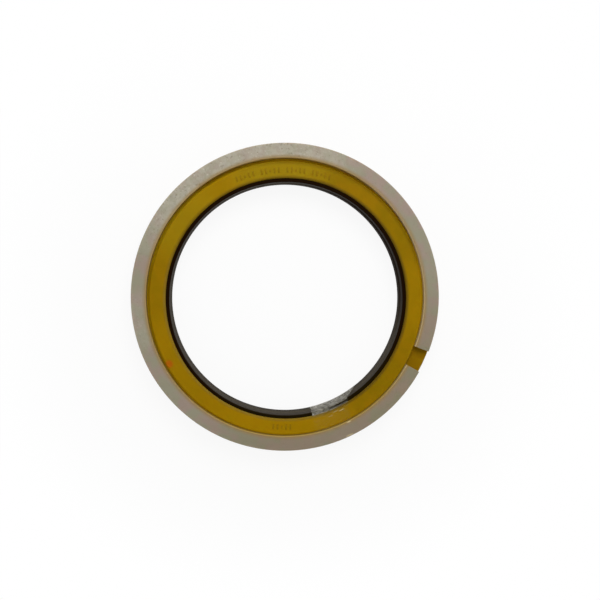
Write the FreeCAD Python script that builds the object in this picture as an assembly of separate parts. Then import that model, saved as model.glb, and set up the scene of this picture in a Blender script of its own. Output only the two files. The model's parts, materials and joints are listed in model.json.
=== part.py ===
import FreeCAD, Part
import math
import os

# Double-acting piston seal for a 100 mm barrel, lying flat.
# Lengths are in millimetres and angles in degrees.
# The seal's axis is Z, and its lowest flat face lies at z = 0.
# Every section is drawn as radius and height, and turned round the axis.

# Overall sizes; the radii of the section follow from the land inwards
seal_height = 10.5
land_radius = 50.0

# Split backup rings, one at each side of the sealing land
backup_thickness = 3.0
backup_width = 4.75
backup_inset = 0.2
backup_chamfer = 0.2
split_gap = 7.0
upper_split_angle = -25.0
lower_split_angle = 155.0

# The backup rings float: the film draws both towards the shoulder on its own side
side_play = 0.4
shoulder_clearance = 0.3
push_angle = 107.0

# Seal ring, a T section whose stem reaches inwards between the backup rings
face_recess = 0.3
face_width = 5.45
inner_edge_round = 0.5
shoulder_round = 0.8
land_chamfer = 0.4

# Energiser ring and the rib that keys it into the seal ring
lip_width = 1.13
energiser_recess = 0.25
bore_chamfer = 0.3
rib_depth = 2.6
rib_mouth_height = 5.4
rib_crest_height = 3.6
rib_crest_chamfer = 0.5
relief_height = 2.6
relief_depth = 0.4

# Clear film round the section; its strip runs straight, and widens towards the foot on one side
film_thickness = 0.06
film_width = 12.0
film_offset = 7.5
film_direction = -80.0
film_flare = 25.0
film_foot = 1.1

# Clearances between the pieces
seat_clearance = 0.02
film_clearance = 0.03

# Heights and radii that follow from the sizes above
middle = seal_height / 2
body_top = seal_height - face_recess
land_top = seal_height - backup_thickness - seat_clearance
backup_outer_radius = land_radius - backup_inset
backup_inner_radius = backup_outer_radius - backup_width
backup_middle_radius = (backup_inner_radius + backup_outer_radius) / 2
shoulder_radius = backup_inner_radius - side_play - shoulder_clearance
inner_edge_radius = shoulder_radius - face_width
energiser_top = body_top - energiser_recess
energiser_outer_radius = inner_edge_radius - seat_clearance
bore_radius = energiser_outer_radius - lip_width
split_turn = math.degrees(split_gap / backup_middle_radius)
film_angle = film_direction + math.degrees(math.asin(film_offset / backup_middle_radius))
axis_start = FreeCAD.Vector(0, 0, 0)
axis_direction = FreeCAD.Vector(0, 0, 1)


# Section face from corners, each given as radius, height, rounding and how many flats draw the rounding
def section_face(corners):
    points = [FreeCAD.Vector(corner[0], 0, corner[1]) for corner in corners]
    outline = []
    for index, corner in enumerate(points):
        rounding, flats = corners[index][2:]
        if flats == 0:
            outline.append(corner)
            continue
        following = points[(index + 1) % len(points)]
        back = (points[index - 1] - corner).normalize()
        ahead = (following - corner).normalize()
        half_angle = back.getAngle(ahead) / 2
        sweep = math.pi - 2 * half_angle
        setback = rounding / math.tan(half_angle)
        centre = corner + (back + ahead).normalize() * (rounding / math.sin(half_angle))
        first_arm = corner + back * setback - centre
        last_arm = corner + ahead * setback - centre
        for step in range(flats + 1):
            turn = sweep * step / flats
            arm = first_arm * math.sin(sweep - turn) + last_arm * math.sin(turn)
            outline.append(centre + arm / math.sin(sweep))
    return Part.Face(Part.makePolygon(outline + [outline[0]]))


# Ring turned from a section face
def turned(face, turn=360.0):
    return face.revolve(axis_start, axis_direction, turn)


# The same corners upside down, so that the lower half of a section repeats its upper half
def mirrored(corners):
    return [(corner[0], seal_height - corner[1]) + corner[2:] for corner in reversed(corners)]


# Polyurethane ring: stem, shoulders for the backup rings, sealing land and inner key groove
def seal_ring():
    groove_radius = energiser_outer_radius + rib_depth + seat_clearance
    upper_half = [
        (groove_radius, middle + rib_crest_height / 2 + seat_clearance, rib_crest_chamfer, 1),
        (inner_edge_radius, middle + rib_mouth_height / 2 + seat_clearance, 0, 0),
        (inner_edge_radius, body_top, inner_edge_round, 2),
        (shoulder_radius, body_top, shoulder_round, 2),
        (shoulder_radius, land_top, 0, 0),
        (land_radius, land_top, land_chamfer, 1),
    ]
    return turned(section_face(upper_half + mirrored(upper_half)))


# Rubber ring: bore with a shallow relief groove, and the rib that fills the key groove
def energiser_ring():
    upper_half = [
        (bore_radius + relief_depth, middle + relief_height / 2 - relief_depth, 0, 0),
        (bore_radius, middle + relief_height / 2, 0, 0),
        (bore_radius, energiser_top, bore_chamfer, 1),
        (energiser_outer_radius, energiser_top, 0, 0),
        (energiser_outer_radius, middle + rib_mouth_height / 2, 0, 0),
        (energiser_outer_radius + rib_depth, middle + rib_crest_height / 2, rib_crest_chamfer, 1),
    ]
    return turned(section_face(upper_half + mirrored(upper_half)))


# Rigid plastic ring with chamfered edges and a straight radial split
def backup_ring(bottom, split_angle):
    top = bottom + backup_thickness
    outline = [
        (backup_inner_radius, bottom, backup_chamfer, 1),
        (backup_outer_radius, bottom, backup_chamfer, 1),
        (backup_outer_radius, top, backup_chamfer, 1),
        (backup_inner_radius, top, backup_chamfer, 1),
    ]
    ring = turned(section_face(outline), 360 - split_turn)
    ring.rotate(axis_start, axis_direction, split_angle + split_turn / 2)
    push = math.radians(push_angle)
    ring.translate(FreeCAD.Vector(math.cos(push), math.sin(push), 0) * side_play)
    return ring


# Outline that stands one gap outside the whole section where the film crosses it
def film_outline(gap, foot):
    pushed_in = side_play * math.cos(math.radians(push_angle - film_angle))
    backup_inner_here = backup_inner_radius + pushed_in
    backup_outer_here = backup_outer_radius + pushed_in
    return [
        (bore_radius - gap, foot, 0, 0),
        (bore_radius - gap, energiser_top + gap, 0, 0),
        (inner_edge_radius + gap, body_top + gap, 0, 0),
        (backup_inner_here - face_recess, body_top + gap, 0, 0),
        (backup_inner_here, seal_height + gap, 0, 0),
        (backup_outer_here + gap, seal_height + gap, 0, 0),
        (land_radius + gap, land_top + gap, 0, 0),
        (land_radius + gap, foot, 0, 0),
    ]


# Film that climbs out of the bore, crosses the upper faces and goes down the outside
def clear_film():
    outer_face = section_face(film_outline(film_clearance + film_thickness, film_foot))
    inner_face = section_face(film_outline(film_clearance, film_foot - seal_height))
    sheet = turned(outer_face.cut(inner_face).Faces[0])
    upright_side = film_offset - film_width / 2
    flared_side = film_offset + film_width / 2
    flare = seal_height * math.tan(math.radians(film_flare))
    strip_end = Part.makePolygon([
        FreeCAD.Vector(0, upright_side, 0),
        FreeCAD.Vector(0, flared_side + flare, 0),
        FreeCAD.Vector(0, flared_side, seal_height),
        FreeCAD.Vector(0, flared_side, seal_height * 2),
        FreeCAD.Vector(0, upright_side, seal_height * 2),
        FreeCAD.Vector(0, upright_side, 0),
    ])
    strip = Part.Face(strip_end).extrude(FreeCAD.Vector(land_radius * 2, 0, 0))
    strip.rotate(axis_start, axis_direction, film_direction)
    return sheet.common(strip)


pieces = {
    "seal_ring": seal_ring(),
    "energiser_ring": energiser_ring(),
    "lower_backup_ring": backup_ring(0, lower_split_angle),
    "upper_backup_ring": backup_ring(seal_height - backup_thickness, upper_split_angle),
    "clear_film": clear_film(),
}

os.makedirs("parts", exist_ok=True)
for name, shape in pieces.items():
    solid = shape.Solids[0]
    print(name, len(shape.Solids), "solid", solid.isValid(), round(solid.Volume, 1), "mm3")
    solid.exportStep("parts/" + name + ".step")
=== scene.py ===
import json
import math
import bmesh
import bpy
from mathutils import Matrix, Vector


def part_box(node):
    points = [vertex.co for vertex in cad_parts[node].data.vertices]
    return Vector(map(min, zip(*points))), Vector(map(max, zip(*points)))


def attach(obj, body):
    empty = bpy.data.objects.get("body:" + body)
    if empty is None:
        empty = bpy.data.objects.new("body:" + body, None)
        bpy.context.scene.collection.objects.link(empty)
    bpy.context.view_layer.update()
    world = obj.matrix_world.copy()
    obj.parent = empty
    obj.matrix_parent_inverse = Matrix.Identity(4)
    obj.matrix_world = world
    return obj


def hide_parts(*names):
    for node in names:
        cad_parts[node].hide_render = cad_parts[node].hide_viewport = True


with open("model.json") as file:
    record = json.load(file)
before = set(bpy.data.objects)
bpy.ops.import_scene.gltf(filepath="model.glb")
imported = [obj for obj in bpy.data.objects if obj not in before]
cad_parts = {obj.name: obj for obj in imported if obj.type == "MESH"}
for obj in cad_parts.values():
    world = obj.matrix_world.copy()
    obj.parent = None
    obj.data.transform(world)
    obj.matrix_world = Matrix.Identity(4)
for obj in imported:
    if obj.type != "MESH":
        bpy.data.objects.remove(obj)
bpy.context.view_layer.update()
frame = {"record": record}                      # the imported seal, whose mounts and boxes give the main sizes
mm = 0.001
weldGap = mm / 1000                    # points this near each other, or this near a cut, are joined
samePlace = 0.01                       # mm within which a point counts as lying at a corner or on a plane
mounts = {mount["name"]: mount for mount in frame["record"]["mounts"]}
landRadius = mounts["barrel_land"]["dims"]["r_mm"]
boreRadius = mounts["groove_bore"]["dims"]["r_mm"]
middle = mounts["barrel_land"]["pos_m"][2] / mm


# A node's lowest and highest corners in mm
def boxOf(node):
    low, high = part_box(node)
    return low / mm, high / mm


# Shader maths: a wire is one output socket, and sums of wires add their nodes
class Wire:
    def __init__(self, tree, socket=None):
        self.tree = tree
        self.socket = socket

    def node(self, kind, settings=None, inputs=None, output=0):
        made = self.tree.nodes.new("ShaderNode" + kind)
        for name, value in (settings or {}).items():
            setattr(made, name, value)
        for name, value in (inputs or {}).items():
            if isinstance(value, Wire):
                self.tree.links.new(value.socket, made.inputs[name])
            else:
                made.inputs[name].default_value = value
        return Wire(self.tree, made.outputs[output] if len(made.outputs) else None)

    def beside(self, output):                                  # another output of the same node
        return Wire(self.tree, self.socket.node.outputs[output])

    def maths(self, operation, *values):
        return self.node("Math", {"operation": operation}, dict(enumerate(values)))

    def __add__(self, other):
        return self.maths("ADD", self, other)

    def __radd__(self, other):
        return self.maths("ADD", other, self)

    def __sub__(self, other):
        return self.maths("SUBTRACT", self, other)

    def __rsub__(self, other):
        return self.maths("SUBTRACT", other, self)

    def __mul__(self, other):
        return self.maths("MULTIPLY", self, other)

    def __rmul__(self, other):
        return self.maths("MULTIPLY", other, self)

    def __truediv__(self, other):
        return self.maths("DIVIDE", self, other)

    def __pow__(self, other):
        return self.maths("POWER", self, other)

    def __abs__(self):
        return self.maths("ABSOLUTE", self)

    def rise(self, low, high):                                 # 0 below low, 1 above high, smooth between
        ends = {"Value": self, "From Min": low, "From Max": high}
        return self.node("MapRange", {"interpolation_type": "SMOOTHSTEP"}, ends)

    def fall(self, low, high):                                 # 1 below low, 0 above high, smooth between
        return 1 - self.rise(low, high)

    # Mixes colours, from first at 0 to second at 1; the node takes them at inputs 6 and 7
    def blend(self, first, second):
        return self.node("Mix", {"data_type": "RGBA"}, {0: self, 6: colour(first), 7: colour(second)}, 2)

    def noise(self, scale, detail, seed):                      # this wire is the place in mm
        inputs = {"Vector": self, "W": seed, "Scale": scale, "Detail": detail}
        return self.node("TexNoise", {"noise_dimensions": "4D"}, inputs)

    def lines(self, scale):                                    # this wire is one number, such as a radius
        inputs = {"W": self, "Scale": scale, "Detail": 1.0}
        return self.node("TexNoise", {"noise_dimensions": "1D"}, inputs)

    def bump(self, depth, under=None):                         # this wire is the height, depth is in mm
        inputs = {"Height": self, "Distance": depth * mm, "Strength": 1.0}
        if under:
            inputs["Normal"] = under
        return self.node("Bump", {}, inputs)


def colour(value):
    return value if isinstance(value, Wire) else (*value, 1.0)


# Place in mm on a piece, its distance from an axis and its height
class Places:
    def __init__(self, start, centre=(0, 0)):
        metres = start.node("TexCoord", {}, {}, "Object")
        self.place = start.node("VectorMath", {"operation": "SCALE"}, {0: metres, "Scale": 1 / mm})
        parts = start.node("SeparateXYZ", {}, {0: self.place})
        self.x = parts - centre[0]
        self.y = parts.beside("Y") - centre[1]
        self.height = parts.beside("Z")
        self.radius = (self.x * self.x + self.y * self.y) ** 0.5

    def toward(self, degrees, near, far):                      # 1 up to near degrees aside, 0 past far
        bearing = math.radians(degrees)
        cosine = (self.x * math.cos(bearing) + self.y * math.sin(bearing)) / self.radius
        return cosine.rise(math.cos(math.radians(far)), math.cos(math.radians(near)))

    def areas(self, *areas):                                   # each area is bearing, near, far and strength
        return sum(self.toward(*reach) * strength for *reach, strength in areas)

    def uneven(self, scale, detail, seed, strength):           # soft noise between 0 and strength
        return self.place.noise(scale, detail, seed) * strength

    def clouds(self, scale, detail, seed, low, high, strength):  # noise, 0 below low and strength above high
        return self.place.noise(scale, detail, seed).rise(low, high) * strength

    def spot(self, degrees, radius, inner, outer):             # 1 inside inner mm of a point, 0 past outer
        bearing = math.radians(degrees)
        aside = self.x - radius * math.cos(bearing)
        along = self.y - radius * math.sin(bearing)
        return ((aside * aside + along * along) ** 0.5).fall(inner, outer)

    def dash(self, degrees, radius, length, width):            # 1 on a short line along the ring
        bearing = math.radians(degrees)
        outward = self.x * math.cos(bearing) + self.y * math.sin(bearing) - radius
        sideways = self.y * math.cos(bearing) - self.x * math.sin(bearing)
        return abs(outward).fall(width * 0.3, width * 0.7) * abs(sideways).fall(length * 0.3, length * 0.6)


def startMaterial(name):
    material = bpy.data.materials.new(name)
    material.use_nodes = True
    material.node_tree.nodes.clear()
    return material, Wire(material.node_tree)


def finishMaterial(start, inputs):
    surface = start.node("BsdfPrincipled", {}, inputs)
    start.node("OutputMaterial", {}, {"Surface": surface})


# Turned lines with a grain over them, and an uneven roughness that frost can add to
def roughenSurface(at, across, values, frost=0.0):
    lineScale, lineDepth = values["lines"]
    *grainNoise, grainDepth = values["grain"]
    turned = across.lines(lineScale).bump(lineDepth)
    return {
        "Normal": at.place.noise(*grainNoise).bump(grainDepth, turned),
        "Roughness": values["roughness"] + frost + at.uneven(*values["dull"]),
        "Specular IOR Level": values["specular"],
    }


# Lets light into a plastic, to a depth in mm for red, green and blue, and adds a painted glow
def letLightIn(depths, glow):
    return {
        "Subsurface Weight": 0.6, "Subsurface Scale": 1.0 * mm, "Subsurface Radius": depths,
        "Emission Color": glow, "Emission Strength": 1.0,
    }


# Selects the vertices or edges that pass a test, on a piece in Edit Mode, and counts them
def pick(piece, kind, test):
    bpy.ops.mesh.select_mode(type=kind)
    bpy.ops.mesh.select_all(action="DESELECT")
    mesh = bmesh.from_edit_mesh(piece.data)
    elements = mesh.verts if kind == "VERT" else mesh.edges
    chosen = [element for element in elements if test(element)]
    for element in chosen:
        element.select_set(True)
    mesh.select_flush_mode()
    bmesh.update_edit_mesh(piece.data)
    return len(chosen)


# Draws a section in the XZ plane, each corner given as radius, height, rounding and segments
def traceSection(name, corners, closed=True):
    bpy.ops.object.select_all(action="DESELECT")
    bpy.ops.mesh.primitive_plane_add(size=mm, location=(corners[0][0] * mm, 0, corners[0][1] * mm))
    piece = bpy.context.object
    piece.name = name
    piece.data.name = name
    bpy.ops.object.transform_apply(location=True, rotation=False, scale=False)
    bpy.ops.object.mode_set(mode="EDIT")
    bpy.ops.mesh.select_mode(type="VERT")
    bpy.ops.mesh.select_all(action="SELECT")
    bpy.ops.mesh.merge(type="CENTER")
    for before, after in zip(corners, corners[1:]):
        move = ((after[0] - before[0]) * mm, 0, (after[1] - before[1]) * mm)
        bpy.ops.mesh.extrude_vertices_move(TRANSFORM_OT_translate={"value": move})
    if closed:
        pick(piece, "VERT", lambda vertex: isAt(vertex, corners[0]) or isAt(vertex, corners[-1]))
        bpy.ops.mesh.edge_face_add()
    for rounding, segments in sorted({corner[2:] for corner in corners if corner[2]}):
        chosen = [corner for corner in corners if corner[2:] == (rounding, segments)]
        pick(piece, "VERT", lambda vertex: any(isAt(vertex, corner) for corner in chosen))
        bpy.ops.mesh.bevel(offset=rounding * mm, segments=segments, affect="VERTICES")
    return piece


def isAt(vertex, corner):
    return math.hypot(vertex.co.x / mm - corner[0], vertex.co.z / mm - corner[1]) < samePlace


# The same corners upside down, so that the lower half of a section repeats its upper half
def mirrored(corners):
    return [(corner[0], 2 * middle - corner[1]) + corner[2:] for corner in reversed(corners)]


# Takes the sharpness off the drawn section's corners that turn by more than the given degrees
def softenCorners(piece, width, segments, turn):
    def isSharp(vertex):
        if len(vertex.link_edges) != 2:
            return False
        arms = [edge.other_vert(vertex).co - vertex.co for edge in vertex.link_edges]
        return arms[0].angle(arms[1]) < math.radians(180 - turn)

    pick(piece, "VERT", isSharp)
    bpy.ops.mesh.bevel(offset=width * mm, segments=segments, affect="VERTICES")


# Spins the drawn section round the axis, anticlockwise as seen from above
def spinSection(piece, steps, sweep):
    bpy.ops.mesh.select_mode(type="VERT")
    bpy.ops.mesh.select_all(action="SELECT")
    bpy.ops.mesh.spin(steps=steps, angle=-math.radians(sweep), center=(0, 0, 0), axis=(0, 0, 1))
    bpy.ops.mesh.select_all(action="SELECT")


# Makes a whole ring of a closed section, or one with a gap and two flat ends
def turnSection(piece, steps, sweep=360.0):
    spinSection(piece, steps, sweep)
    bpy.ops.mesh.remove_doubles(threshold=weldGap)
    if sweep < 360:
        bpy.ops.mesh.fill_holes(sides=0)
        bpy.ops.mesh.select_all(action="SELECT")
    bpy.ops.mesh.normals_make_consistent(inside=False)


def chooseOnly(piece):
    bpy.ops.object.select_all(action="DESELECT")
    piece.select_set(True)
    bpy.context.view_layer.objects.active = piece


def applyModifier(piece, kind, settings):
    chooseOnly(piece)
    modifier = piece.modifiers.new(kind.lower(), kind)
    for name, value in settings.items():
        setattr(modifier, name, value)
    bpy.ops.object.modifier_apply(modifier=modifier.name)


# Smooth shading that keeps flat faces flat beside their rounded edges
def smoothPiece(piece, angle=32.0):
    chooseOnly(piece)
    bpy.ops.object.shade_smooth_by_angle(angle=math.radians(angle))
    applyModifier(piece, "WEIGHTED_NORMAL", {"keep_sharp": True, "weight": 90})


def dressPiece(piece, material, node):
    piece.data.materials.clear()
    piece.data.materials.append(material)
    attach(piece, "root")
    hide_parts(node)


# Camera, floor and light
studio = {
    "cameraPlace": (-11.32, 11.02, 255.2),                     # mm, nearly straight above the seal
    "cameraAim": (4.19, -0.24, 10.0),
    "lens": 45.58,
    "sensor": 36.0,
    "nearest": 10.0,                                           # mm, where the camera's sight begins
    "keyBearing": 80.0,                                        # degrees, from where the window light comes
    "keyHeight": 57.0,
    "keyDistance": 0.34,                                       # metres, as the two sizes
    "keySize": 0.22,
    "keyPower": 0.62,
    "ambient": 0.52,
    "floorSize": 4.0,
    "floorWhite": 0.9,
    "floorGlow": 0.9,
    "glowFade": (60.0, 110.0),                                 # mm from the seal's axis
    "white": (1, 1, 1),
}


def setCamera():
    place = Vector(studio["cameraPlace"]) * mm
    forward = (Vector(studio["cameraAim"]) * mm - place).normalized()
    right = forward.cross(Vector((0, 1, 0))).normalized()
    turned = Matrix((right, right.cross(forward), -forward)).transposed()
    bpy.ops.object.camera_add(location=place, rotation=turned.to_euler())
    camera = bpy.context.object
    camera.name = "productCamera"
    camera.data.lens = studio["lens"]
    camera.data.sensor_width = studio["sensor"]
    camera.data.clip_start = studio["nearest"] * mm
    bpy.context.scene.camera = camera


# 1 where the ray comes from the camera, a reflection or clear plastic
def seenDirectly(start):
    path = start.node("LightPath", {}, {}, "Is Camera Ray")
    seen = path + path.beside("Is Glossy Ray") + path.beside("Is Transmission Ray")
    return seen.maths("MINIMUM", seen, 1.0)


def layFloor():
    bpy.ops.mesh.primitive_plane_add(size=studio["floorSize"])
    floor = bpy.context.object
    floor.name = "paleFloor"
    material, start = startMaterial("paleFloor")
    paper = (studio["floorWhite"],) * 3
    matt = start.node("BsdfDiffuse", {}, {"Color": colour(paper)})
    bright = start.node("Emission", {}, {"Color": colour(studio["white"]), "Strength": 1.0})
    glow = studio["floorGlow"]
    share = seenDirectly(start) * (glow + Places(start).radius.rise(*studio["glowFade"]) * (1 - glow))
    surface = start.node("MixShader", {}, {0: share, 1: matt, 2: bright})
    start.node("OutputMaterial", {}, {"Surface": surface})
    floor.data.materials.append(material)


# White surroundings that light the seal less than they show, and a round window
def lightStudio():
    world = bpy.data.worlds.new("paleRoom")
    bpy.context.scene.world = world
    world.use_nodes = True
    world.node_tree.nodes.clear()
    start = Wire(world.node_tree)
    seen = seenDirectly(start)
    strength = seen + (1 - seen) * studio["ambient"]
    light = start.node("Background", {}, {"Color": colour(studio["white"]), "Strength": strength})
    start.node("OutputWorld", {}, {"Surface": light})
    bearing = math.radians(studio["keyBearing"])
    height = math.radians(studio["keyHeight"])
    flat = math.cos(height)
    direction = Vector((math.cos(bearing) * flat, math.sin(bearing) * flat, math.sin(height)))
    turned = direction.to_track_quat("Z", "Y").to_euler()
    bpy.ops.object.light_add(type="AREA", location=direction * studio["keyDistance"], rotation=turned)
    lamp = bpy.context.object
    lamp.name = "windowLight"
    lamp.data.shape = "DISK"
    lamp.data.size = studio["keySize"]
    lamp.data.energy = studio["keyPower"]


# Polyurethane seal ring: a T section with the sealing land outside and the key groove inside
sealRing = {
    "steps": 360,
    "innerEdgeRadius": 38.9,                                   # mm from here on
    "shoulderRadius": 44.35,
    "landTop": 7.48,
    "grooveDepth": 2.6,
    "grooveCrest": 1.82,
    "grooveMouth": 2.72,
    "grooveRound": (0.5, 4),                                   # roundings are in mm, with their segments
    "mouthRound": (0.12, 2),
    "innerEdgeRound": (0.5, 6),
    "shoulderRound": (0.8, 6),
    "landRootRound": (0.1, 2),
    "landChamfer": (0.4, 1),
    "softening": (0.08, 2, 22),                                # for corners that turn by 22 degrees or more
    "markRadius": 41.6,                                        # row of raised ticks on the upper face
    "markSize": (0.5, 1.7, 0.4),                               # width, length outwards and depth
    "markRound": (0.07, 2),
    "markPitch": 1.9,                                          # degrees
    "markRows": ((112.6, 23), (271.4, 5)),                     # first bearing and how many
    "markHeight": 0.18,
    "bareEvery": 6,                                            # every sixth place stays bare
    "shortEvery": 3,                                           # the other third places hold a short one
    "shortShare": 0.45,
    "colour": (0.315, 0.172, 0.0012),
    "oliveColour": (0.262, 0.158, 0.0008),
    "wideClouds": (0.09, 2.0, 1.0, 0.38, 0.62, 0.6),           # scale, detail, seed, low, high and strength
    "smallClouds": (0.4, 3.0, 6.0, 0.4, 0.6, 0.4),
    "amberColour": (0.42, 0.236, 0.0012),
    "amberAreas": ((262, 10, 42, 0.6), (208, 8, 26, 0.35), (122, 6, 20, 0.4), (0, 6, 22, 0.35)),
    "greenColour": (0.335, 0.222, 0.004),
    "greenAreas": ((93, 8, 28, 0.9), (143, 6, 22, 0.6)),
    "edgeColour": (0.14, 0.085, 0.006),                        # painted shade along the inner edge
    "edgeFade": (0.2, 1.3),                                    # mm from that edge
    "edgeShare": 0.95,
    # painted shade made stronger or weaker by bearing, as the light falls
    "edgeAreas": ((222, 45, 100, -0.38), (108, 15, 40, -0.22), (303, 10, 30, 0.2)),
    # painted highlight on the inner rounding, on the side that faces the light
    "paleEdge": (0.205, 0.146, 0.028),
    "paleEdgeArea": (225, 40, 80, 1.0),
    "faceLevel": (4.5, 4.85),                                  # mm above or below the middle
    # painted shade on the face beside the shoulder, where the backup ring shadows it
    "shoulderColour": (0.15, 0.088, 0.002),
    "shoulderFade": (-1.5, 0.0),                               # mm outwards from the shoulder's wall
    "shoulderArea": (60, 25, 60, 0.8),
    # painted light on the shoulder's rounding, on the side where the rings touch
    "litShoulder": (-0.7, -0.2),
    "litShoulderArea": (285, 45, 85, 0.15),
    # painted light in the gap, standing for light that comes through the seal ring
    "gapColour": (0.66, 0.42, 0.006),
    "gapStart": (-0.2, -0.02),
    "gapEnd": (1.2, 2.0),
    "gapLevel": (2.8, 4.2),                                    # mm above or below the middle
    "darkGapArea": (160, 35, 70, 0.6),
    # painted glow in the gap, on one side
    "gapGlow": (0.120, 0.076, 0.001),
    "gapGlowArea": (207, 15, 38, 1.0),
    "splitReach": (4.2, 5.4),                                  # degrees to each side of the split's middle
    "landColour": (0.285, 0.155, 0.001),                       # on the land inside the split
    "landStart": (-0.1, 0.1),
    "landRise": (2.1, 2.2),                                    # mm above or below the middle
    "landFall": (2.3, 2.5),
    "markColour": (0.26, 0.155, 0.004),
    "markRise": (10.22, 10.32),                                # mm above the floor
    "markShare": 0.8,
    "inkColour": (0.46, 0.115, 0.004),
    "inkSpot": (208.6, 43.2, 0.7, 1.7),                        # bearing, radius, inner and outer size
    "inkShare": 0.85,
    "lightDepths": (1.2, 0.8, 0.2),
    "specular": 0.02,
    "roughness": 0.40,
    "dull": (0.6, 3.0, 7.0, 0.12),                             # scale, detail, seed and strength
    "lines": (7.0, 0.010),                                     # scale, and depth in mm
    "grain": (5.0, 3.0, 4.0, 0.012),                           # scale, detail, seed, and depth in mm
}


def makeSealRing():
    values = sealRing
    top = boxOf("seal_ring")[1].z
    inner = values["innerEdgeRadius"]
    shoulder = values["shoulderRadius"]
    upperHalf = [
        (inner + values["grooveDepth"], middle + values["grooveCrest"], *values["grooveRound"]),
        (inner, middle + values["grooveMouth"], *values["mouthRound"]),
        (inner, top, *values["innerEdgeRound"]),
        (shoulder, top, *values["shoulderRound"]),
        (shoulder, values["landTop"], *values["landRootRound"]),
        (landRadius, values["landTop"], *values["landChamfer"]),
    ]
    ring = traceSection("sealRing", upperHalf + mirrored(upperHalf))
    softenCorners(ring, *values["softening"])
    turnSection(ring, values["steps"])
    bpy.ops.object.mode_set(mode="OBJECT")
    raiseMarks(ring, top)
    smoothPiece(ring)
    dressPiece(ring, paintPolyurethane(), "seal_ring")


# Plain raised ticks in a row, joined to the ring as its moulding
def raiseMarks(ring, faceHeight):
    values = sealRing
    height = (faceHeight + values["markHeight"] - values["markSize"][2] / 2) * mm
    across = values["markRadius"] * mm
    tick = shapeTick()
    copies = []
    for first, count in values["markRows"]:
        for index in range(count):
            if (index + 1) % values["bareEvery"] == 0:
                continue
            twin = tick.copy()
            twin.data = tick.data.copy()
            bpy.context.collection.objects.link(twin)
            bearing = math.radians(first - index * values["markPitch"])
            twin.location = (math.cos(bearing) * across, math.sin(bearing) * across, height)
            twin.rotation_euler.z = bearing
            if (index + 1) % values["shortEvery"] == 0:
                twin.scale.x = values["shortShare"]
            copies.append(twin)
    bpy.data.objects.remove(tick)
    bpy.ops.object.select_all(action="DESELECT")
    for twin in copies:
        twin.select_set(True)
    bpy.context.view_layer.objects.active = copies[0]
    bpy.ops.object.join()
    marks = bpy.context.object
    bpy.ops.object.transform_apply(location=True, rotation=True, scale=True)
    applyModifier(ring, "BOOLEAN", {"object": marks, "operation": "UNION", "solver": "EXACT"})
    bpy.data.objects.remove(marks)


# One bar with rounded edges, its length along X
def shapeTick():
    width, length, depth = sealRing["markSize"]
    rounding, segments = sealRing["markRound"]
    bpy.ops.object.select_all(action="DESELECT")
    bpy.ops.mesh.primitive_cube_add(size=mm, location=(0, 0, 0), scale=(length, width, depth))
    tick = bpy.context.object
    bpy.ops.object.transform_apply(location=False, rotation=False, scale=True)
    bpy.ops.object.mode_set(mode="EDIT")
    bpy.ops.mesh.select_mode(type="EDGE")
    bpy.ops.mesh.select_all(action="SELECT")
    bpy.ops.mesh.bevel(offset=rounding * mm, segments=segments, affect="EDGES")
    bpy.ops.object.mode_set(mode="OBJECT")
    return tick


def paintPolyurethane():
    values = sealRing
    material, start = startMaterial("mustardPolyurethane")
    at = Places(start)
    level = abs(at.height - middle)
    onFace = level.rise(*values["faceLevel"])
    fromShoulder = at.radius - values["shoulderRadius"]
    face = tintAndShadeFace(at, fromShoulder, onFace)
    lit, glow = lightGap(at, fromShoulder, level, onFace, face)
    raised = at.height.rise(*values["markRise"]) * values["markShare"]
    marked = raised.blend(lit, values["markColour"])
    ink = at.spot(*values["inkSpot"]) * values["inkShare"]
    finishMaterial(start, {
        "Base Color": ink.blend(marked, values["inkColour"]),
        **roughenSurface(at, at.radius, values),
        **letLightIn(values["lightDepths"], glow),
    })
    return material


# Cloudy mustard with amber and greenish stretches, with painted shade along the face's two edges and a painted
# highlight on one side of the inner edge
def tintAndShadeFace(at, fromShoulder, onFace):
    values = sealRing
    cloudy = at.clouds(*values["wideClouds"]) + at.clouds(*values["smallClouds"])
    clouded = cloudy.blend(values["colour"], values["oliveColour"])
    amber = at.areas(*values["amberAreas"]).blend(clouded, values["amberColour"])
    body = at.areas(*values["greenAreas"]).blend(amber, values["greenColour"])
    # Painted shade along the inner edge, and a painted highlight on its side that faces the light
    edgeShare = values["edgeShare"] + at.areas(*values["edgeAreas"])
    innerEdgeShade = (at.radius - values["innerEdgeRadius"]).fall(*values["edgeFade"]) * edgeShare
    edgeShadeTint = at.areas(values["paleEdgeArea"]).blend(values["edgeColour"], values["paleEdge"])
    edged = innerEdgeShade.blend(body, edgeShadeTint)
    # Painted shade beside the shoulder, on the side the backup ring shadows
    shoulderShade = fromShoulder.rise(*values["shoulderFade"]) * at.areas(values["shoulderArea"]) * onFace
    return shoulderShade.blend(edged, values["shoulderColour"])


# Painted light in the gap beside the backup ring, standing for light that comes through its walls, a painted
# glow there, and the land inside the split
def lightGap(at, fromShoulder, level, onFace, face):
    values = sealRing
    litRounding = fromShoulder.rise(*values["litShoulder"]) * at.areas(values["litShoulderArea"]) * onFace
    inGap = fromShoulder.rise(*values["gapStart"]) * fromShoulder.fall(*values["gapEnd"])
    split = at.toward(backupRing["splitBearings"]["upper_backup_ring"], *values["splitReach"])
    below = inGap * level.fall(*values["gapLevel"]) * (1 - at.areas(values["darkGapArea"])) * (1 - split)
    lit = below.maths("MAXIMUM", below, litRounding).blend(face, values["gapColour"])
    glow = (below * at.areas(values["gapGlowArea"])).blend((0, 0, 0), values["gapGlow"])
    landTop = level.rise(*values["landRise"]) * level.fall(*values["landFall"])
    onLand = fromShoulder.rise(*values["landStart"]) * landTop
    return (split * onLand).blend(lit, values["landColour"]), glow


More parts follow.
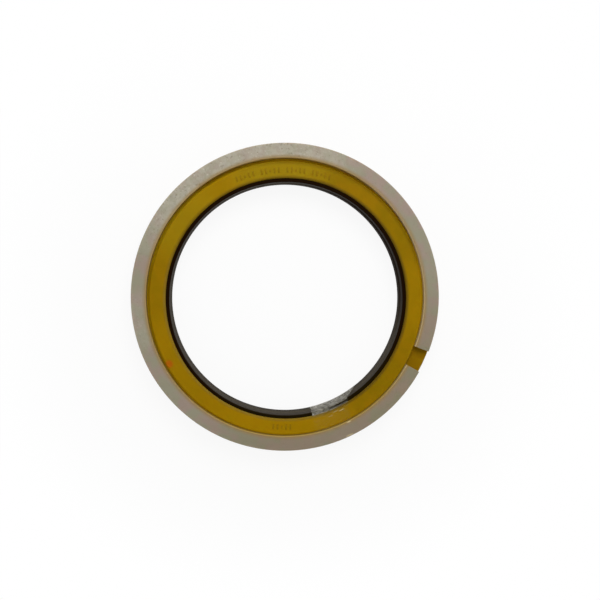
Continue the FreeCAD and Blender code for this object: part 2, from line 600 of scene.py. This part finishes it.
# Black rubber energiser: a bore with a shallow relief groove, and the rib that fills the key groove
energiser = {
    "steps": 360,
    "outerRadius": 38.88,                                      # mm from here on
    "ribCrest": 1.8,
    "ribMouth": 2.7,
    "reliefDepth": 0.4,
    "reliefHalf": 1.3,
    "ribRound": (0.5, 4),                                      # roundings are in mm, with their segments
    "reliefRound": (0.15, 2),
    "boreRound": (0.3, 5),
    "backRound": (0.08, 2),
    "colour": (0.0095, 0.0035, 0.0006),
    "litColour": (0.0105, 0.0060, 0.0008),
    "litArea": (285, 30, 60, 1.0),
    # painted reflection of the pale surroundings on the bore's wall
    "wallColour": (0.045, 0.037, 0.027),
    "wallEnd": (38.2, 38.5),                                   # radii between which the wall's painted reflection ends
    "rimHeight": 9.6,                                          # where it ends upwards
    "rimLift": (240, 40, 75, 0.22),
    "rimFade": (0.0, 0.14),
    # lighter painted reflection in the relief groove, to even out its shade
    "reliefColour": (0.082, 0.070, 0.053),
    "reliefLevel": (1.1, 1.6),                                 # mm above or below the middle
    # how much painted reflection there is, and how unevenly
    "dustShare": 0.75,
    "dust": (0.7, 3.0, 2.0, 0.5),                              # scale, detail, seed and strength
    # painted reflection weaker where the wall faces away from the light
    "cleanArea": (32, 15, 62, 0.85),
    "specular": 0.01,
    "roughness": 0.46,
    "dull": (0.8, 2.0, 6.0, 0.14),
    "lines": (3.0, 0.012),
    "grain": (6.0, 3.0, 3.0, 0.012),
}


def makeEnergiser():
    values = energiser
    high = boxOf("energiser_ring")[1]
    outer = values["outerRadius"]
    reliefTop = middle + values["reliefHalf"]
    depth = values["reliefDepth"]
    upperHalf = [
        (boreRadius + depth, reliefTop - depth, *values["reliefRound"]),
        (boreRadius, reliefTop, *values["reliefRound"]),
        (boreRadius, high.z, *values["boreRound"]),
        (outer, high.z, *values["backRound"]),
        (outer, middle + values["ribMouth"], *values["backRound"]),
        (high.x, middle + values["ribCrest"], *values["ribRound"]),
    ]
    ring = traceSection("energiserRing", upperHalf + mirrored(upperHalf))
    turnSection(ring, values["steps"])
    bpy.ops.object.mode_set(mode="OBJECT")
    smoothPiece(ring)
    dressPiece(ring, paintRubber(), "energiser_ring")


# Black on the upper face, with a painted reflection on the bore's wall, made lighter in its relief groove to
# even out the groove's shade
def paintRubber():
    values = energiser
    material, start = startMaterial("blackNitrile")
    at = Places(start)
    rim = values["rimHeight"] + at.areas(values["rimLift"])
    wall = at.radius.fall(*values["wallEnd"]) * (at.height - rim).fall(*values["rimFade"])
    wallSheen = wall * (values["dustShare"] + at.uneven(*values["dust"])) * (1 - at.areas(values["cleanArea"]))
    inRelief = abs(at.height - middle).fall(*values["reliefLevel"])
    dust = inRelief.blend(values["wallColour"], values["reliefColour"])
    face = at.areas(values["litArea"]).blend(values["colour"], values["litColour"])
    finishMaterial(start, {
        "Base Color": wallSheen.blend(face, dust),
        **roughenSurface(at, at.height, values),
    })
    return material


# Split backup rings of natural nylon, both pushed aside by the film that holds them
backupRing = {
    "steps": 352,
    "width": 4.75,                                             # mm from here on
    "splitGap": 7.0,
    "edgeRound": (0.2, 3),                                     # roundings are in mm, with their segments
    "cornerRound": (0.5, 4),                                   # at the outer corners of the cut ends
    "endRound": (0.09, 2),
    "uprightLength": 2.0,                                      # only the ends' upright edges climb further
    "splitBearings": {"upper_backup_ring": -25.0, "lower_backup_ring": 155.0},
    "colour": (0.350, 0.276, 0.225),
    "greenishColour": (0.316, 0.296, 0.214),
    "patches": (0.24, 2.0, 5.0, 0.38, 0.62, 1.0),              # scale, detail, seed, low, high and strength
    "warmColour": (0.276, 0.218, 0.150),
    "warmGreenColour": (0.246, 0.221, 0.138),
    "warmArea": (300, 25, 75, 0.75),
    "frostColour": (0.46, 0.43, 0.345),
    "frostAreas": ((112, 26, 56, 1.0), (189, 5, 14, 0.4)),
    "frostShare": 0.3,
    "frostClouds": (0.2, 2.0, 8.0, 0.36, 0.64, 0.3),
    "frostMottle": (0.95, 3.0, 9.0, 0.36, 0.64, 0.35),
    "frostRoughness": 0.2,
    "speckColour": (0.175, 0.155, 0.11),
    "specks": (1.4, 2.0, 12.0, 0.58, 0.7, 1.0),
    "speckShares": (0.14, 0.4),                                # everywhere, and more where it is frosted
    "fleckColour": (0.62, 0.59, 0.48),
    "flecks": (1.7, 2.0, 15.0, 0.62, 0.72, 0.6),
    # painted shade along the inner edge, tinted amber by the seal ring's light
    "innerTint": (0.325, 0.212, 0.070),
    "innerTintShare": 0.75,
    "innerTintFade": (0.1, 1.5),                               # mm from the inner wall, as the next fade
    # painted light on the inner wall, the seal ring's light coming through
    "wallTint": (0.42, 0.30, 0.09),
    "wallFade": (0.02, 0.12),
    "paleWallTint": (0.66, 0.56, 0.36),
    "paleWallArea": (8, 26, 55, 1.0),
    # painted glow on the inner wall, on the sides where the rings touch
    "wallGlow": (0.080, 0.056, 0.008),
    "wallGlowAreas": ((282, 28, 62, 1.0), (357, 14, 32, 0.6)),
    "lightDepths": (1.2, 1.0, 0.7),
    "specular": 0.12,
    "roughness": 0.44,
    "dull": (0.9, 3.0, 2.0, 0.1),
    "lines": (5.0, 0.006),
    "grain": (3.0, 4.0, 3.0, 0.02),
}


def makeBackupRing(node, name):
    values = backupRing
    low, high = boxOf(node)
    push = (low + high) / 2
    outer = (high.x - low.x) / 2
    inner = outer - values["width"]
    centreLine = outer - values["width"] / 2
    outline = [(inner, low.z), (outer, low.z), (outer, high.z), (inner, high.z)]
    ring = traceSection(name, [place + values["edgeRound"] for place in outline])
    gap = math.degrees(values["splitGap"] / centreLine)
    turnSection(ring, values["steps"], 360 - gap)
    roundSplitEnds(ring, gap, centreLine)
    bpy.ops.object.mode_set(mode="OBJECT")
    ring.rotation_euler.z = math.radians(values["splitBearings"][node] + gap / 2)
    ring.location = (push.x * mm, push.y * mm, 0)
    bpy.ops.object.transform_apply(location=True, rotation=True, scale=False)
    smoothPiece(ring)
    dressPiece(ring, paintNylon(name, push, inner), node)


# The two cut ends lie at bearing 0 and one gap short of a full turn
def roundSplitEnds(ring, gap, centreLine):
    values = backupRing

    def onEnd(edge):
        for bearing in (0, -math.radians(gap)):
            side = Vector((-math.sin(bearing), math.cos(bearing), 0))
            if all(abs(vertex.co.dot(side)) < samePlace * mm and vertex.co.x > 0 for vertex in edge.verts):
                return True
        return False

    def isOuterCorner(edge):
        top, bottom = [vertex.co for vertex in edge.verts]
        isUpright = abs(top.z - bottom.z) > values["uprightLength"] * mm
        return onEnd(edge) and isUpright and top.xy.length > centreLine * mm

    for test, (rounding, segments) in ((isOuterCorner, values["cornerRound"]), (onEnd, values["endRound"])):
        pick(ring, "EDGE", test)
        bpy.ops.mesh.bevel(offset=rounding * mm, segments=segments, affect="EDGES")


def paintNylon(name, push, inner):
    values = backupRing
    material, start = startMaterial("naturalNylon" + name[0].upper() + name[1:])
    at = Places(start, (push.x, push.y))
    frost = at.areas(*values["frostAreas"])
    fromInside = at.radius - inner
    # Painted shade along the inner edge, tinted amber by the seal ring's light
    innerEdgeShade = fromInside.fall(*values["innerTintFade"]) * values["innerTintShare"]
    edged = innerEdgeShade.blend(tintNylon(at, frost), values["innerTint"])
    innerWall = fromInside.fall(*values["wallFade"])           # painted light: the seal ring's light coming through here
    wallTint = at.areas(values["paleWallArea"]).blend(values["wallTint"], values["paleWallTint"])
    glow = (innerWall * at.areas(*values["wallGlowAreas"])).blend((0, 0, 0), values["wallGlow"])
    finishMaterial(start, {
        "Base Color": innerWall.blend(edged, wallTint),
        **roughenSurface(at, at.radius, values, frost * values["frostRoughness"]),
        **letLightIn(values["lightDepths"], glow),
    })
    return material


# Pinkish and greenish grey, darker and warmer on one side, lighter and frosted with dark specks and pale
# flecks on the other
def tintNylon(at, frost):
    values = backupRing
    warm = at.areas(values["warmArea"])
    pinkish = warm.blend(values["colour"], values["warmColour"])
    greenish = warm.blend(values["greenishColour"], values["warmGreenColour"])
    body = at.clouds(*values["patches"]).blend(pinkish, greenish)
    cloudy = values["frostShare"] + at.clouds(*values["frostClouds"]) + at.clouds(*values["frostMottle"])
    frosted = (frost * cloudy).blend(body, values["frostColour"])
    plainShare, frostedShare = values["speckShares"]
    specks = at.clouds(*values["specks"]) * (plainShare + frost * frostedShare)
    specked = specks.blend(frosted, values["speckColour"])
    return (at.clouds(*values["flecks"]) * frost).blend(specked, values["fleckColour"])


# Clear film that climbs out of the bore, crosses the upper faces and goes down the outside
clearFilm = {
    "gap": 0.03,                                               # mm from here on
    "thickness": 0.06,
    "width": 12.0,
    "offset": 7.5,
    "foot": 1.1,
    "lead": 0.3,                                               # where it climbs, inside the backup ring
    "bends": (0, 0.25, 0.4, 0.3, 0.2, 0.3, 0.3, 0),            # rounding at each corner of its path
    "bendSegments": 3,
    "direction": -80.0,                                        # degrees, as the flare and the sweep
    "flare": 25.0,
    "sweep": 38.0,
    "steps": 110,
    "cell": 0.28,                                              # mm, the longest edge along its path
    "weld": 0.01,
    "rise": 0.3,                                               # mm, how far the film stands off at most
    "swell": (3.2, 0.4),                                       # size in mm, and share of that rise
    "crease": (2.4, 0.6),
    "tightMargin": 0.1,
    "smoothAngle": 50.0,
    "colour": (0.62, 0.59, 0.47),
    "veil": (0.004, 0.006),                                    # alpha everywhere, and more in its folds
    "wallEnd": (37.8, 38.05),                                  # radii between which each part fades
    "stepStart": (38.3, 38.6),
    "stepShare": 0.5,
    "topStart": (37.85, 38.1),
    "topEnd": (38.8, 39.05),
    "topArea": (-80, 5, 15, 0.8),
    "mottleShare": 0.08,
    "blotches": (0.55, 3.0, 3.0, 0.42, 0.6, 0.09),             # scale, detail, seed, low, high and strength
    "folds": (1.5, 2.0, 5.0),
    "foldEnds": (0.42, 0.62),
    "foldShare": 0.13,
    "foldStretch": (1, 1, 0.15),                               # so that folds run down the wall
    "asideShare": 0.7,
    "middleArea": (-72, 5, 14, 0.3),
    "footShare": 1.25,
    "clearing": (2, 8),                                        # mm above the floor, where it gets clearer
    "clearingShare": 0.35,
    "glintColour": (0.95, 0.79, 0.42),
    "glintShare": 0.4,
    "creases": (                                               # painted glints on the film's creases: bearing, radius, length and width
        (-63.9, 40.3, 1.8, 0.15),
        (-66.8, 39.9, 1.4, 0.12),
        (-69.6, 40.7, 1.5, 0.09),
        (-63.2, 44.9, 1.4, 0.38),
        (-64.9, 48.9, 3.4, 0.26),
    ),
    "roughness": 0.22,
    "specular": 0.5,
    "grain": (1.4, 4.0, 6.0),
    "grainDepth": 0.08,
}


def makeFilm():
    values = clearFilm
    low, high = boxOf("upper_backup_ring")
    film = traceSection("clearFilm", filmPath(low, high), closed=False)
    while pick(film, "EDGE", lambda edge: edge.calc_length() > values["cell"] * mm):
        bpy.ops.mesh.subdivide(number_cuts=1)
    spinSection(film, values["steps"], values["sweep"])
    cutStrip()
    bpy.ops.mesh.select_all(action="SELECT")
    bpy.ops.mesh.remove_doubles(threshold=values["weld"] * mm)
    bpy.ops.mesh.normals_make_consistent(inside=False)
    faceUpwards(film)
    bpy.ops.object.mode_set(mode="OBJECT")
    film.rotation_euler.z = math.radians(values["direction"])
    bpy.ops.object.transform_apply(location=False, rotation=True, scale=False)
    loosenFilm(film, high.z - values["tightMargin"])
    applyModifier(film, "SOLIDIFY", {"thickness": values["thickness"] * mm, "offset": 1.0})
    smoothPiece(film, values["smoothAngle"])
    dressPiece(film, paintFilm(), "clear_film")


# One gap outside the section, from the foot in the bore to the foot outside the land
def filmPath(ringLow, ringHigh):
    values = clearFilm
    gap = values["gap"]
    push = (ringLow + ringHigh) / 2                            # inwards where the film crosses the ring
    outer = (ringHigh.x - ringLow.x) / 2 - math.hypot(push.x, push.y)
    inner = outer - backupRing["width"]
    faceTop = boxOf("seal_ring")[1].z + gap
    path = [
        (boreRadius - gap, values["foot"]),
        (boreRadius - gap, boxOf("energiser_ring")[1].z + gap),
        (sealRing["innerEdgeRadius"] + gap, faceTop),
        (inner - values["lead"], faceTop),
        (inner, ringHigh.z + gap),
        (outer + gap, ringHigh.z + gap),
        (landRadius + gap, sealRing["landTop"] + gap),
        (landRadius + gap, values["foot"]),
    ]
    return [(*place, bend, values["bendSegments"]) for place, bend in zip(path, values["bends"])]


# Trims the turned sheet to a strip along X, with one upright side and one that leans outwards
def cutStrip():
    values = clearFilm
    upright = (values["offset"] - values["width"] / 2) * mm
    flared = (values["offset"] + values["width"] / 2) * mm
    lean = math.tan(math.radians(values["flare"]))
    sides = (
        {"plane_co": (0, upright, 0), "plane_no": (0, 1, 0), "clear_inner": True},
        {"plane_co": (0, flared, 2 * middle * mm), "plane_no": (0, 1, lean), "clear_outer": True},
    )
    for side in sides:
        bpy.ops.mesh.select_all(action="SELECT")
        bpy.ops.mesh.bisect(threshold=weldGap, **side)


# The side away from the rings is the film's outside
def faceUpwards(film):
    mesh = bmesh.from_edit_mesh(film.data)
    topmost = max(mesh.faces, key=lambda face: face.calc_center_median().z)
    if topmost.normal.z < 0:
        bpy.ops.mesh.flip_normals()


# The film stands off the rings in folds, except where it is drawn tight over the backup ring
def loosenFilm(film, tightHeight):
    values = clearFilm
    slack = film.vertex_groups.new(name="slack")
    for vertex in film.data.vertices:
        slack.add([vertex.index], 0.0 if vertex.co.z / mm > tightHeight else 1.0, "REPLACE")
    swell = bpy.data.textures.new("filmSwell", "CLOUDS")
    crease = bpy.data.textures.new("filmCrease", "VORONOI")
    crease.weight_1 = -1.0                                     # second nearest point less the nearest: a net
    crease.weight_2 = 1.0
    for texture, (size, share) in ((swell, values["swell"]), (crease, values["crease"])):
        texture.noise_scale = size * mm
        settings = {"texture": texture, "texture_coords": "LOCAL", "vertex_group": "slack"}
        settings.update({"strength": values["rise"] * share * mm, "mid_level": 0.0})
        applyModifier(film, "DISPLACE", settings)
    film.vertex_groups.clear()


def paintFilm():
    values = clearFilm
    material, start = startMaterial("clearFilm")
    at = Places(start)
    onWall = at.radius.fall(*values["wallEnd"])
    beforeEnd = at.radius.fall(*values["topEnd"])
    onStep = beforeEnd * at.radius.rise(*values["stepStart"])
    onTop = beforeEnd * at.radius.rise(*values["topStart"]) * at.areas(values["topArea"])
    drawn = start.node("VectorMath", {"operation": "MULTIPLY"}, {0: at.place, 1: values["foldStretch"]})
    folded = drawn.noise(*values["folds"]).rise(*values["foldEnds"])
    sideways = values["asideShare"] + at.areas(values["middleArea"])
    upwards = values["footShare"] - at.height.rise(*values["clearing"]) * values["clearingShare"]
    blotched = values["mottleShare"] + at.clouds(*values["blotches"]) + folded * values["foldShare"]
    mottled = blotched * sideways * upwards
    clearest, foldVeil = values["veil"]
    veil = clearest + folded * foldVeil + mottled * (onWall + onStep * values["stepShare"] + onTop)
    # Painted glints where the film's creases would catch the light
    glints = sum(at.dash(*crease) for crease in values["creases"])
    finishMaterial(start, {
        "Base Color": glints.blend(values["colour"], values["glintColour"]),
        "Alpha": veil + glints * values["glintShare"],
        "Roughness": values["roughness"],
        "Specular IOR Level": values["specular"],
        "Normal": at.place.noise(*values["grain"]).bump(values["grainDepth"]),
    })
    return material


bpy.context.scene.view_settings.view_transform = "Standard"
setCamera()
layFloor()
lightStudio()
print("studio is set")
makeSealRing()
print("seal ring is turned")
makeEnergiser()
print("energiser is turned")
makeBackupRing("upper_backup_ring", "upperBackupRing")
makeBackupRing("lower_backup_ring", "lowerBackupRing")
print("backup rings are cut")
makeFilm()
print("film is laid")
